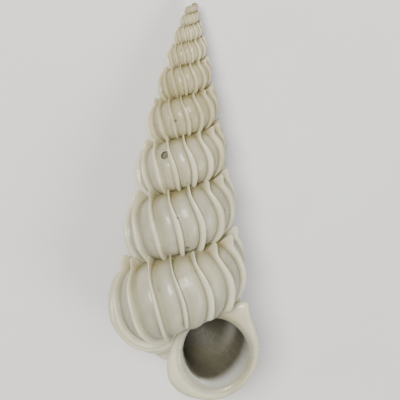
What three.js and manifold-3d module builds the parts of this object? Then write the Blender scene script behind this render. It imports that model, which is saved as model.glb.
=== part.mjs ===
// A wentletrap: a tall sea snail shell, grown in one piece.
//
// The shell is a tube that coils down an axis and widens as it goes. Each section of the tube is an
// ellipse. At regular steps of growth the animal thickened its lip, and each of those old lips is now
// a rib that runs across the whorl and ends in a small corner at the suture above.
//
// Sizes are in millimetres and angles in degrees, unless a name says otherwise. "Turns" counts growth:
// 0 is at the mouth and negative numbers are older shell. Lengths given as shares are shares of the
// coil's radius at that place, so the young whorls are small copies of the old ones.
// The shell is grown with its axis along Z and its apex up, then laid down as it rests on a table.

import * as THREE from "three";
import { mergeVertices } from "three/addons/utils/BufferGeometryUtils.js";
import Module from "manifold-3d";

// The coil.
const MOUTH_RADIUS = 8.42; // from the axis to the rib crests at the mouth
const FIRST_TURN = -9.3; // where the shell begins
const GROWTH = 0.1793; // growth rate of the radius, per turn
const GROWTH_CHANGE = 0.0115; // how much faster the young shell grew, per turn squared
const PITCH_SHARE = 1.103; // drop of the coil in one turn
const LAST_DROP = 0.78; // the last half turn falls away from the coil by this much
const LAST_DROP_TURNS = 0.6;
const SPIRE_BEND = 0.43; // the apex leans sideways by this much
const SPIRE_BEND_LENGTH = 12.15;

// The tube.
const CENTRE_SHARE = 0.465; // from the axis to the middle of the tube
const HALF_WIDTH = 0.435;
const HALF_HEIGHT = 0.56;
const WALL = 0.028;
const LUMEN_FIRST_TURN = -4.4; // the hollow is filled in above here
const LUMEN_END_RISE = -0.3; // where it closes to a rounded end
const LUMEN_OVERRUN_TURNS = 0.02; // it runs out past the lip
const COLUMELLA_SHARE = 0.5; // radius of the pillar that the whorls wind round
const COLUMELLA_FIRST_TURN = FIRST_TURN + 1;
const COLUMELLA_LAST_TURN = -0.29;
const START_ROUNDING_TURNS = 0.25;
const BASE_PLUG = [
  { radius: 0.44, height: 0.5 },
  { radius: 0.36, height: 0.28 },
  { radius: 0.2, height: 0.1 },
]; // the pillar's foot, which closes the navel in the base

// The ribs.
const RIB_STEP = 0.0697; // turns from one rib to the next
const LAST_RIB_DELAY = 0.055; // the newest ribs stand a little further apart
const LAST_RIB_DELAY_COUNT = 3;
const RIB_LEAN = 0.0385; // turns that a rib's upper end runs ahead of its middle
const RIB_FOOT = 0.55; // places across a rib, in rib steps behind its crease
const RIB_CREST = 0.38;
const RIDGE_CREST = 0.2;
const RIDGE_SHARE = 0.75; // height of a ridge, as a share of a rib's
const RIB_HEIGHT = 0.08;
const CORNER_HEIGHT = 0.08;
const CORNER_ANGLE = 58; // round the section, from the outermost point up
const CORNER_SPREAD = 18;
const RIB_FADE_FROM = 85;
const RIB_FADE_TO = 120;
const FINE_RIBS_FROM = -4; // older ribs than this are plain ridges
const RIDGES_FROM = -7; // and the first whorls are smooth

// The lip round the mouth.
const LIP_REACH = 0.105;
const LIP_PROFILE = [
  { turn: -0.05, share: 0 },
  { turn: -0.024, share: 0.45 },
  { turn: -0.012, share: 0.9 },
  { turn: 0, share: 1 },
  { turn: 0.012, share: 0.9 },
]; // from its foot on the whorl to its front
const LIP_SPREADS = [
  { angle: -150, spread: 34, reach: 0.14 }, // the flare over the columella
  { angle: 62, spread: 12, reach: 0.08 }, // the spike beside the suture
];

// A predator's bore hole through the shell wall.
const BORE_HOLE_DIAMETER = 0.78;
const BORE_HOLE_TURN = -2.684;
const BORE_HOLE_ANGLE = 29;
const BORE_HOLE_RISE = 0.1; // the cut runs from here, outside the shell,
const BORE_HOLE_DEPTH = 0.2; // to here, in its hollow
const BORE_HOLE_SIDES = 12;

// How it lies: on its back with the mouth up and the apex dipped to the table.
const REST_ROLL = -7.96;
const REST_DIP = 10.35;
const WORN_DEPTH = 0.2; // the ribs it lies on are worn flat by this much
const WORN_CUT_SIDE = 100; // the block that wears them is wider than the shell
const WORN_CUT_HEIGHT = 10;

// How finely it is drawn.
const ANGLES_ROUND_TUBE = [-180, -122, -96, -68, -38, -8, 22, 46, 66, 88, 124];
const ANGLES_ROUND_SPIRE = [-180, -115, -80, -35, 10, 50, 88, 125];
const ANGLES_ROUND_LUMEN = [-165, -125, -88, -52, -17, 17, 52, 88, 125, 165];
const LIP_POINTS = 24;
const COLUMELLA_SIDES = 10;
const LUMEN_STEP_TURNS = 1 / 12;
const COLUMELLA_STEP_TURNS = 0.5;
const HEIGHT_STEPS = 48;
const RIBS_IN_A_LENGTH = 8;
const WELD = 1e-5; // points closer than this are one

const wasm = await Module();
wasm.setup();

// ---------------------------------------------------------------- growth

function radiusAt(turn) {
  return MOUTH_RADIUS * Math.exp(GROWTH * turn - GROWTH_CHANGE * turn * turn);
}

// Height of the tube's middle below the apex: the pitch added up over the turns grown so far.
function heightAt(turn) {
  const step = (turn - FIRST_TURN) / HEIGHT_STEPS;
  let drop = 0;
  for (let i = 0; i < HEIGHT_STEPS; i += 1) {
    drop += radiusAt(FIRST_TURN + (i + 0.5) * step) * step * PITCH_SHARE;
  }
  const late = Math.max(0, (turn + LAST_DROP_TURNS) / LAST_DROP_TURNS);
  return -drop - LAST_DROP * late * late;
}

function ribTurn(index) {
  const delay = LAST_RIB_DELAY * (1 - Math.exp(-index / LAST_RIB_DELAY_COUNT));
  return -RIB_STEP * index - delay;
}

function bump(angle, middle, spread) {
  const away = THREE.MathUtils.euclideanModulo(angle - middle + 180, 360) - 180;
  return Math.exp(-((away / spread) ** 2));
}

function ribHeight(angle) {
  const fade = THREE.MathUtils.smoothstep(RIB_FADE_TO - Math.abs(angle), 0, RIB_FADE_TO - RIB_FADE_FROM);
  return fade * (RIB_HEIGHT + CORNER_HEIGHT * bump(angle, CORNER_ANGLE, CORNER_SPREAD));
}

function lipReach(angle) {
  const spreads = LIP_SPREADS.map((s) => s.reach * bump(angle, s.angle, s.spread));
  return spreads.reduce((sum, reach) => sum + reach, LIP_REACH);
}

function bendSpire(point) {
  const up = Math.max(0, 1 + point.z / SPIRE_BEND_LENGTH);
  point.x += SPIRE_BEND * up * up;
  return point;
}

// A point of the tube: `angle` goes round the section from its outermost point upwards, and `rise`
// is how far the point stands off the tube's outer surface.
function tubePoint(turn, angle, rise) {
  const a = THREE.MathUtils.degToRad(angle);
  const grown = turn + RIB_LEAN * Math.sin(a);
  const start = THREE.MathUtils.clamp((grown - FIRST_TURN) / START_ROUNDING_TURNS, 0, 1);
  const rounding = Math.sqrt(1 - (1 - start) ** 2);
  const normal = new THREE.Vector2(Math.cos(a) / HALF_WIDTH, Math.sin(a) / HALF_HEIGHT).normalize();
  const radius = radiusAt(grown);
  const across = radius * (CENTRE_SHARE + rounding * (HALF_WIDTH * Math.cos(a) + rise * normal.x));
  const up = radius * rounding * (HALF_HEIGHT * Math.sin(a) + rise * normal.y);
  const azimuth = -2 * Math.PI * grown;
  return bendSpire(
    new THREE.Vector3(across * Math.cos(azimuth), across * Math.sin(azimuth), heightAt(grown) + up),
  );
}

// ---------------------------------------------------------------- solids

// Closes a stack of rings, given oldest first, into a solid.
function solidFromRings(rings) {
  const around = rings[0].length;
  const points = rings.flat();
  const faces = [];
  for (let i = 0; i + 1 < rings.length; i += 1) {
    for (let j = 0; j < around; j += 1) {
      const a = i * around + j;
      const b = i * around + ((j + 1) % around);
      faces.push(a, b, b + around, a, b + around, a + around);
    }
  }
  [0, rings.length - 1].forEach((i) => {
    const middle = points.length;
    const sum = rings[i].reduce((total, p) => total.add(p), new THREE.Vector3());
    points.push(sum.divideScalar(around));
    for (let j = 0; j < around; j += 1) {
      const a = i * around + j;
      const b = i * around + ((j + 1) % around);
      faces.push(...(i === 0 ? [middle, b, a] : [middle, a, b]));
    }
  });
  return solidFromGeometry(new THREE.BufferGeometry().setFromPoints(points).setIndex(faces));
}

function solidFromGeometry(geometry) {
  geometry.deleteAttribute("normal");
  geometry.deleteAttribute("uv");
  const merged = mergeVertices(geometry, WELD);
  return new wasm.Manifold(
    new wasm.Mesh({
      numProp: 3,
      vertProperties: merged.attributes.position.array,
      triVerts: new Uint32Array(merged.index.array),
    }),
  );
}

function geometryFromSolid(solid) {
  const mesh = solid.getMesh();
  const positions = new THREE.BufferAttribute(mesh.vertProperties, 3);
  const indices = new THREE.BufferAttribute(mesh.triVerts, 1);
  return new THREE.BufferGeometry().setAttribute("position", positions).setIndex(indices);
}

// ---------------------------------------------------------------- the shell's parts

function ring(turn, share, angles) {
  return angles.map((angle) => tubePoint(turn, angle, share * ribHeight(angle)));
}

// The rings that draw one rib: its foot behind, its crest, and the crease in front of it.
function ribRings(turn) {
  const foot = { turn: turn - RIB_FOOT * RIB_STEP, share: 0 };
  if (turn > FINE_RIBS_FROM) {
    return [foot, { turn: turn - RIB_CREST * RIB_STEP, share: 1 }, { turn, share: 0 }];
  }
  return turn > RIDGES_FROM ? [foot, { turn: turn - RIDGE_CREST * RIB_STEP, share: RIDGE_SHARE }] : [foot];
}

// The tube with its ribs, in lengths short enough that none meets itself.
function whorlSolids() {
  const solids = [];
  let index = 0;
  while (ribTurn(index) > FIRST_TURN + RIB_LEAN) {
    const angles = ribTurn(index) > FINE_RIBS_FROM ? ANGLES_ROUND_TUBE : ANGLES_ROUND_SPIRE;
    const stations = [];
    for (let i = index; i <= index + RIBS_IN_A_LENGTH; i += 1) {
      const turn = ribTurn(i);
      if (turn > FIRST_TURN + RIB_LEAN) stations.unshift(...ribRings(turn));
    }
    if (ribTurn(index + RIBS_IN_A_LENGTH) <= FIRST_TURN + RIB_LEAN) {
      stations.unshift({ turn: FIRST_TURN + RIB_LEAN, share: 0 });
    }
    solids.push(solidFromRings(stations.map((s) => ring(s.turn, s.share, angles))));
    index += RIBS_IN_A_LENGTH;
  }
  return solids;
}

function lipSolid() {
  const angles = Array.from({ length: LIP_POINTS }, (_, i) => -180 + (360 * i) / LIP_POINTS);
  return solidFromRings(
    LIP_PROFILE.map((s) => angles.map((angle) => tubePoint(s.turn, angle, s.share * lipReach(angle)))),
  );
}

// The pillar in the middle. It fills the gaps between the whorls as far out as they touch.
function columellaSolid() {
  const rings = [];
  const circle = (radius, height) =>
    Array.from({ length: COLUMELLA_SIDES }, (_, i) => {
      const azimuth = (-2 * Math.PI * i) / COLUMELLA_SIDES;
      return bendSpire(new THREE.Vector3(radius * Math.cos(azimuth), radius * Math.sin(azimuth), height));
    });
  for (let turn = COLUMELLA_FIRST_TURN; turn < COLUMELLA_LAST_TURN; turn += COLUMELLA_STEP_TURNS) {
    const radius = radiusAt(turn);
    rings.push(circle(COLUMELLA_SHARE * radius, heightAt(turn) + HALF_HEIGHT * radius));
  }
  BASE_PLUG.forEach(({ radius, height }) => {
    rings.push(circle(radius * MOUTH_RADIUS, heightAt(0) + height * MOUTH_RADIUS));
  });
  return solidFromRings(rings);
}

function lumenSolid() {
  const rings = [];
  const length = LIP_PROFILE.at(-1).turn + LUMEN_OVERRUN_TURNS - LUMEN_FIRST_TURN;
  const count = Math.round(length / LUMEN_STEP_TURNS);
  for (let i = 0; i <= count; i += 1) {
    const turn = LUMEN_FIRST_TURN + (length * i) / count;
    const rise = i === 0 ? LUMEN_END_RISE : -WALL;
    rings.push(ANGLES_ROUND_LUMEN.map((angle) => tubePoint(turn, angle, rise)));
  }
  return solidFromRings(rings);
}

function boreHoleSolid() {
  const outside = tubePoint(BORE_HOLE_TURN, BORE_HOLE_ANGLE, BORE_HOLE_RISE);
  const inside = tubePoint(BORE_HOLE_TURN, BORE_HOLE_ANGLE, -BORE_HOLE_DEPTH);
  const along = outside.clone().sub(inside);
  const radius = BORE_HOLE_DIAMETER / 2;
  const drill = new THREE.CylinderGeometry(radius, radius, along.length(), BORE_HOLE_SIDES);
  const turned = new THREE.Quaternion().setFromUnitVectors(
    new THREE.Vector3(0, 1, 0),
    along.clone().normalize(),
  );
  const middle = outside.clone().add(inside).multiplyScalar(0.5);
  drill.applyQuaternion(turned).translate(middle.x, middle.y, middle.z);
  return solidFromGeometry(drill);
}

function shellGeometry() {
  const grown = [...whorlSolids(), columellaSolid(), lipSolid()];
  const joined = grown.reduce((total, solid) => total.add(solid));
  const hollow = joined.subtract(lumenSolid()).subtract(boreHoleSolid());
  return geometryFromSolid(hollow);
}

// Lays the shell down with its apex along +Y, centred over the origin. Its lowest ribs dip under
// z = 0 by the depth they are worn, and what dips under is cut off.
function layDown(geometry) {
  const rad = THREE.MathUtils.degToRad;
  geometry.rotateZ(rad(REST_ROLL));
  geometry.rotateX(rad(-90 - REST_DIP));
  geometry.computeBoundingBox();
  const { min, max } = geometry.boundingBox;
  geometry.translate(-(min.x + max.x) / 2, -(min.y + max.y) / 2, -min.z - WORN_DEPTH);
  const table = new THREE.BoxGeometry(WORN_CUT_SIDE, WORN_CUT_SIDE, WORN_CUT_HEIGHT);
  table.translate(0, 0, -WORN_CUT_HEIGHT / 2);
  return geometryFromSolid(solidFromGeometry(geometry).subtract(solidFromGeometry(table)));
}

const shell = new THREE.Group();
const shellMaterial = new THREE.MeshStandardMaterial({
  color: 0xd9d5c6,
  roughness: 0.35,
  metalness: 0,
});
const body = new THREE.Mesh(layDown(shellGeometry()), shellMaterial);
body.name = "wentletrap_shell";
shell.add(body);

export default shell;
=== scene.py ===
"""A wentletrap shell lying on a pale table with its mouth up, under soft studio light.

The shell is one grown piece, so it is one mesh. A tube with an oval section winds down an axis and
widens as it goes. Thin leaning ribs, each a former lip, stand on it at even steps of growth. The
newest lip is thick and flares round the mouth, and a small round hole is bored in an older whorl.

"Turns" counts growth: 0 at the mouth, negative for older shell. "Shares" are shares of the coil's
radius at that place. The shell is grown with its apex up along Z and then laid down.
"""

from __future__ import annotations

import logging
import math
from dataclasses import dataclass, field
from enum import Enum
import bpy
import numpy as np
from mathutils import Matrix, Vector


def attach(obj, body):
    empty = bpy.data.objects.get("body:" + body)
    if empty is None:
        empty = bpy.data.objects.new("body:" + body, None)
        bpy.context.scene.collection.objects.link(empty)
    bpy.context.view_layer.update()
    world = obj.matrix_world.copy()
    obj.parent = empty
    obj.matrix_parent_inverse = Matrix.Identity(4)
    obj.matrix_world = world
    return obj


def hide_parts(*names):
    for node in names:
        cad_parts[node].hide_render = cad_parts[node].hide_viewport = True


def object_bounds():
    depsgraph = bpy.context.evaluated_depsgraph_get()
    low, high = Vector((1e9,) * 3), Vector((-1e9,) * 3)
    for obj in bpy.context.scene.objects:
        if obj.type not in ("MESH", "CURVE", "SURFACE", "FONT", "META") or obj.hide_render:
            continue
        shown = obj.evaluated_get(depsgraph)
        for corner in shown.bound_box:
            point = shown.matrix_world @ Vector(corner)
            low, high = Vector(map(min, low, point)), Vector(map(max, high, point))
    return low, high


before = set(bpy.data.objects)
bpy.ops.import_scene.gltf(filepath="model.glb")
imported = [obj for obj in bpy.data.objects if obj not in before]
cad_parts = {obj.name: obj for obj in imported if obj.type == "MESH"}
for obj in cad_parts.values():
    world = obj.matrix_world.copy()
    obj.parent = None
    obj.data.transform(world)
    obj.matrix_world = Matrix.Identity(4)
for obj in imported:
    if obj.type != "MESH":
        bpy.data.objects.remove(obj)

LOG = logging.getLogger("wentletrap")
CAD_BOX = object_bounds()
NODE = "wentletrap_shell"
FULL_TURN = 2.0 * math.pi
SMALL_STEP = 1e-4


def smooth_ramp(value: np.ndarray, start: float, end: float) -> np.ndarray:
    """Goes from 0 at start to 1 at end along 3x^2 - 2x^3, and is flat outside.

    Args:
        value: where to read the ramp.
        start: the value that gives 0.
        end: the value that gives 1.

    Returns:
        The ramp's height for each value.
    """
    x = np.clip((value - start) / (end - start), 0.0, 1.0)
    return x * x * (3.0 - 2.0 * x)


def bump(angle: np.ndarray, middle: float, spread: float) -> np.ndarray:
    """A bell round the section: exp(-(distance round the circle / spread)^2), in degrees.

    Args:
        angle: angles round the section, in radians.
        middle: where the bell stands, in degrees.
        spread: its half width, in degrees.

    Returns:
        The bell's height for each angle.
    """
    away = (np.degrees(angle) - middle + 180.0) % 360.0 - 180.0
    return np.exp(-((away / spread) ** 2))


# ------------------------------------------------------------------ growth


@dataclass(frozen=True)
class Coil:
    """The law that the shell grew by: a widening tube wound down an axis."""

    mouth_radius: float
    first_turn: float = -9.3
    growth: float = 0.1793
    growth_change: float = 0.0115
    pitch_share: float = 1.103
    last_drop_share: float = 0.0926
    last_drop_turns: float = 0.6
    bend_share: float = 0.0511
    bend_length_share: float = 1.443
    centre_share: float = 0.465
    outer_half_width: float = 0.42
    inner_half_width: float = 0.47
    half_height: float = 0.56
    lean_above: float = 0.0385
    lean_blend: float = 0.9
    below_turns: tuple[float, float] = (-0.72, -0.45)
    leans_below: tuple[float, float] = (0.018, 0.029)
    start_rounding_turns: float = 0.25
    table_steps: int = 4001
    table_margin: float = 0.2

    def radius(self, turn: np.ndarray) -> np.ndarray:
        """The coil's radius: mouth radius times exp(growth * turn - change * turn squared)."""
        return self.mouth_radius * np.exp(self.growth * turn - self.growth_change * turn**2)

    def height(self, turn: np.ndarray) -> np.ndarray:
        """The height of the tube's middle: minus the pitch added up over the turns since the apex.

        Args:
            turn: growth, in turns.

        Returns:
            Heights in metres, 0 at the apex and negative below it.
        """
        steps = np.linspace(self.first_turn - self.table_margin, self.table_margin, self.table_steps)
        radii = self.radius(steps)
        slices = 0.5 * (radii[1:] + radii[:-1]) * np.diff(steps) * self.pitch_share
        drop = np.concatenate([[0.0], np.cumsum(slices)])
        drop -= np.interp(self.first_turn, steps, drop)
        late = np.clip(1.0 + turn / self.last_drop_turns, 0.0, None)
        return -np.interp(turn, steps, drop) - self.last_drop_share * self.mouth_radius * late**2

    def normal(self, angle: np.ndarray) -> tuple[np.ndarray, np.ndarray]:
        """The section's outward direction: (cos / half width, sin / half height), made unit length.

        Args:
            angle: angles round the section, in radians.

        Returns:
            Its parts across the axis and along it.
        """
        across = np.cos(angle) / self.half_width(angle)
        along = np.sin(angle) / self.half_height
        length = np.hypot(across, along)
        return across / length, along / length

    def half_width(self, angle: np.ndarray) -> np.ndarray:
        """The section's half width: one value outwards, and a wider one that closes the navel inwards."""
        return np.where(np.cos(angle) < 0.0, self.inner_half_width, self.outer_half_width)

    def grown(self, turn: np.ndarray, angle: np.ndarray) -> np.ndarray:
        """A growth line's own turn at each angle: the given turn plus lean * sin(angle).

        The lean changes smoothly from the lower side of the section to the upper, and the lower side
        leans less on older whorls.

        Args:
            turn: growth, in turns.
            angle: angle round the section, in radians.

        Returns:
            The leaning line's turns.
        """
        sine = np.sin(angle)
        below = np.interp(turn, self.below_turns, self.leans_below)
        lean = below + (self.lean_above - below) * smooth_ramp(sine, -self.lean_blend, self.lean_blend)
        return turn + lean * sine

    def point(self, turn: np.ndarray, angle: np.ndarray, rise: np.ndarray) -> np.ndarray:
        """Points on or near the tube.

        The section at each turn is an ellipse that stands away from the axis by the centre share. It
        turns about the axis and sinks by the height law, and its growth line leans. The apex is bent
        sideways by the square of its height.

        Args:
            turn: growth, in turns.
            angle: angle round the section from its outermost point upwards, in radians.
            rise: how far the point stands off the surface, as a share of the radius.

        Returns:
            An array of points whose last axis is x, y, z.
        """
        turn, angle, rise = np.broadcast_arrays(turn, angle, rise)
        grown = self.grown(turn, angle)
        start = np.clip((grown - self.first_turn) / self.start_rounding_turns, 0.0, 1.0)
        rounding = np.sqrt(1.0 - (1.0 - start) ** 2)
        across, along = self.normal(angle)
        radius = self.radius(grown)
        reach = self.half_width(angle) * np.cos(angle) + rise * across
        out = radius * (self.centre_share + rounding * reach)
        up = radius * rounding * (self.half_height * np.sin(angle) + rise * along)
        azimuth = -FULL_TURN * grown
        height = self.height(grown) + up
        bend = np.clip(1.0 + height / (self.bend_length_share * self.mouth_radius), 0.0, None)
        x = out * np.cos(azimuth) + self.bend_share * self.mouth_radius * bend**2
        return np.stack([x, out * np.sin(azimuth), height], axis=-1)

    def tangents(self, turn: float, angle: float) -> tuple[np.ndarray, np.ndarray, np.ndarray, np.ndarray]:
        """The bare tube at one place: measured over a small step of turn and a small step of angle.

        Args:
            turn: growth, in turns.
            angle: angle round the section, in radians.

        Returns:
            The place itself, its change per turn, its change per radian, and the outward unit normal.
        """
        middle = self.point(turn, angle, 0.0)
        by_turn = (self.point(turn + SMALL_STEP, angle, 0.0) - middle) / SMALL_STEP
        by_angle = (self.point(turn, angle + SMALL_STEP, 0.0) - middle) / SMALL_STEP
        normal = np.cross(by_angle, by_turn)
        outward = self.point(turn, angle, 1.0) - middle
        return middle, by_turn, by_angle, normal / np.linalg.norm(normal) * np.sign(normal @ outward)


class Detail(Enum):
    """How finely a stretch of ribs is drawn: the rib's outline, and every how many rows are kept.

    An outline goes from the crease in front of the rib, over its crest and down behind it, and over the
    pillow of wall to the next crease. It is a list of (place behind the crease in rib steps, share of
    the rib's height, share of the pillow's height).
    """

    FINE = (
        (
            (0.0, 0.0, 0.0), (0.012, 0.3, 0.0), (0.05, 0.6, 0.0), (0.11, 0.82, 0.0), (0.19, 0.94, 0.0),
            (0.27, 1.0, 0.0), (0.32, 0.98, 0.0), (0.345, 0.85, 0.0), (0.35, 0.55, 0.0),
            (0.36, 0.22, 0.0), (0.38, 0.05, 0.0), (0.5, 0.0, 0.35), (0.64, 0.0, 0.9), (0.8, 0.0, 1.0),
            (0.93, 0.0, 0.7),
        ),
        1,
    )
    MEDIUM = (
        (
            (0.0, 0.0, 0.0), (0.03, 0.45, 0.0), (0.11, 0.8, 0.0), (0.24, 0.98, 0.0), (0.335, 1.0, 0.0),
            (0.35, 0.75, 0.0), (0.36, 0.25, 0.0), (0.38, 0.0, 0.0), (0.58, 0.0, 0.8), (0.84, 0.0, 1.0),
        ),
        2,
    )
    COARSE = (
        (
            (0.0, 0.0, 0.0), (0.06, 0.6, 0.0), (0.25, 1.0, 0.0), (0.36, 0.8, 0.0), (0.38, 0.0, 0.0),
            (0.75, 0.0, 1.0),
        ),
        4,
    )

    @property
    def places(self) -> np.ndarray:
        """The outline's places behind the crease, in rib steps."""
        return np.array([place for place, _, _ in self.value[0]])

    @property
    def shares(self) -> np.ndarray:
        """The outline's heights, as shares of the rib's height."""
        return np.array([share for _, share, _ in self.value[0]])

    @property
    def pillows(self) -> np.ndarray:
        """The outline's swelling between the ribs, as shares of the pillow's height."""
        return np.array([pillow for _, _, pillow in self.value[0]])

    @property
    def row_stride(self) -> int:
        """Every how many rows round the section are kept."""
        return self.value[1]


@dataclass(frozen=True)
class Ribs:
    """The thin leaning ribs that cross the whorls."""

    step: float = 0.0697
    last_delay: float = 0.055
    last_delay_count: float = 3.0
    crowd_index: float = 10.0
    crowd_share: float = 0.1
    crowd_count: float = 4.0
    height: float = 0.1
    pillow: float = 0.028
    pillow_from: float = 0.9
    pillow_to: float = 1.6
    corner_height: float = 0.11
    corner_angle: float = 60.0
    corner_spread: float = 8.0
    base_height: float = 0.06
    base_angle: float = -125.0
    base_spread: float = 35.0
    top_from: float = 62.0
    top_to: float = 71.0
    covered_from: float = 82.0
    covered_to: float = 104.0
    lip_from: float = 38.0
    lip_to: float = 54.0
    lip_turns: tuple[float, float] = (-1.15, -0.98)
    open_from: float = 125.0
    open_to: float = 168.0
    open_turns: tuple[float, float] = (-0.71, -0.66)
    young_turns: tuple[float, ...] = (-9.3, -9.0, -7.0, -4.0, 0.0)
    young_heights: tuple[float, ...] = (0.0, 0.25, 0.8, 1.0, 1.0)
    foot: float = 0.38
    narrow_top: float = 0.3
    narrow_to: float = 72.0
    width_turns: tuple[float, ...] = (-9.0, -3.0, -1.5, -0.7, 0.0)
    widths: tuple[float, ...] = (1.0, 0.95, 0.72, 0.55, 0.5)
    height_jitter: float = 0.1
    width_jitter: float = 0.12
    wave: float = 0.05
    wave_counts: tuple[float, float] = (3.0, 7.0)
    most_ribs: int = 400
    seed: int = 11

    def crease(self, index: np.ndarray) -> np.ndarray:
        """The turn of each rib's crease, counted from the lip.

        The steps are even, except that the newest few are a little longer, and those in the middle of
        the newest whorl a little shorter: share * distance * exp(-(distance / count)^2) is taken off.

        Args:
            index: numbers of the ribs, 0 at the lip.

        Returns:
            The creases' turns.
        """
        delay = self.last_delay * (1.0 - np.exp(-index / self.last_delay_count))
        away = index - self.crowd_index
        crowd = self.crowd_share * away * np.exp(-((away / self.crowd_count) ** 2))
        return -self.step * (index - crowd) - delay

    def height_at(self, turn: np.ndarray, angle: np.ndarray) -> np.ndarray:
        """A rib's height round the section.

        It is even over the outside, has a pointed corner below the upper suture, and ends at both
        sutures. On the newest whorl nothing covers the base, so the ribs run on over it.

        Args:
            turn: growth, in turns.
            angle: angles round the section, in radians.

        Returns:
            Heights as shares of the radius.
        """
        degrees = np.degrees(angle)
        by_lip = smooth_ramp(turn, *self.lip_turns)
        open_share = smooth_ramp(turn, *self.open_turns)
        fade_from = self.covered_from + by_lip * (self.lip_from - self.covered_from)
        fade_to = self.covered_to + by_lip * (self.lip_to - self.covered_to)
        fade_from = fade_from + open_share * (self.open_from - fade_from)
        fade_to = fade_to + open_share * (self.open_to - fade_to)
        below = 1.0 - smooth_ramp(-degrees, fade_from, fade_to)
        above = 1.0 - smooth_ramp(degrees, self.top_from, self.top_to)
        corner = self.corner_height * bump(angle, self.corner_angle, self.corner_spread)
        base = open_share * self.base_height * bump(angle, self.base_angle, self.base_spread)
        growth = np.interp(turn, self.young_turns, self.young_heights)
        return below * above * growth * (self.height + corner + base)


@dataclass(frozen=True)
class Lip:
    """The thick flaring lip round the mouth."""

    reach_angles: tuple[float, ...] = (
        -180.0, -163.0, -148.0, -132.0, -112.0, -90.0, -50.0, 0.0, 28.0, 46.0, 56.0, 62.0, 68.0, 76.0,
        90.0, 140.0, 180.0,
    )
    reaches: tuple[float, ...] = (
        0.12, 0.18, 0.22, 0.21, 0.16, 0.13, 0.112, 0.112, 0.125, 0.17, 0.235, 0.31, 0.27, 0.17,
        0.09, 0.06, 0.12,
    )
    outer_profile: tuple[tuple[float, float], ...] = (
        (0.0, -0.16), (0.25, -0.11), (0.6, -0.075), (0.9, -0.05), (1.0, -0.025), (1.0, 0.0),
        (0.93, 0.02), (0.75, 0.035), (0.5, 0.042), (0.25, 0.042), (0.0, 0.035),
    )
    inner_profile: tuple[tuple[float, float], ...] = ((-0.02, 0.02), (-0.035, -0.005), (-0.045, -0.04))
    gap_columns: int = 4
    # Painted shade with olive dirt on the ring where the lip's foot meets the whorl.
    foot_dust_and_shade: float = 0.5
    inside_below: float = -0.03

    def reach_at(self, angle: np.ndarray) -> np.ndarray:
        """How far the lip stands out: straight lines between the reaches at the named angles."""
        return np.interp(np.degrees(angle), self.reach_angles, self.reaches)


@dataclass(frozen=True)
class BoreHole:
    """The hole a predator bored, as a shallow pit painted dark with shade.

    Its outline is a list of (share of the radius across, depth in radii) from the rim inwards.
    """

    diameter: float
    turn: float = -2.688
    angle: float = 29.0
    half_rows: float = 17.0
    steps: int = 3
    outline: tuple[tuple[float, float], ...] = (
        (1.0, 0.1), (0.97, 0.45), (1.02, 0.65), (1.1, 0.9), (0.6, 1.1),
    )
    # How much of the inside's painted shade colours the pit, in place of the dark inside seen through the
    # hole.
    dark: float = 0.7


@dataclass(frozen=True)
class DustAndShade:
    """Where the colour is darkened: painted shade in the creases, and painted shade with olive dirt behind
    the ribs and along the sutures.
    """

    crease: float = 0.3
    crease_spread: float = 0.03
    behind: float = 0.3
    behind_above: float = 0.35
    behind_place: float = 0.04
    behind_spread: float = 0.16
    above_from: float = -10.0
    above_to: float = 50.0
    upper_from: float = 40.0
    upper_to: float = 76.0
    lower_from: float = 46.0
    lower_to: float = 76.0
    covered_turns: tuple[float, float] = (-1.1, -0.95)
    on_crests: float = 0.35

    def share(
        self, turn: np.ndarray, place: np.ndarray, share: np.ndarray, angle: np.ndarray, foot: float
    ) -> np.ndarray:
        """How much olive dirt and painted shade darken a point.

        Two bells stand across a rib's step, a narrow one at the crease and a wide one behind the rib's
        foot. They add to a ramp towards each suture that the next whorl covers.

        Args:
            turn: growth, in turns.
            place: place behind the rib's crease, in rib steps.
            share: share of the rib's height.
            angle: angle round the section, in radians.
            foot: the place of the rib's foot.

        Returns:
            Values from 0 to 1.
        """
        degrees = np.degrees(angle)
        low = 1.0 - share
        crease = self.crease * np.exp(-((np.minimum(place, 1.0 - place) / self.crease_spread) ** 2))
        amount = self.behind + self.behind_above * smooth_ramp(degrees, self.above_from, self.above_to)
        behind = amount * np.exp(-(((place - foot - self.behind_place) / self.behind_spread) ** 2))
        upper = smooth_ramp(degrees, self.upper_from, self.upper_to)
        covered = 1.0 - smooth_ramp(turn, *self.covered_turns)
        lower = covered * smooth_ramp(-degrees, self.lower_from, self.lower_to)
        suture = (self.on_crests + (1.0 - self.on_crests) * low) * (upper + lower)
        return np.clip(low * (crease + behind) + suture, 0.0, 1.0)


# ------------------------------------------------------------------ mesh


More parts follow.
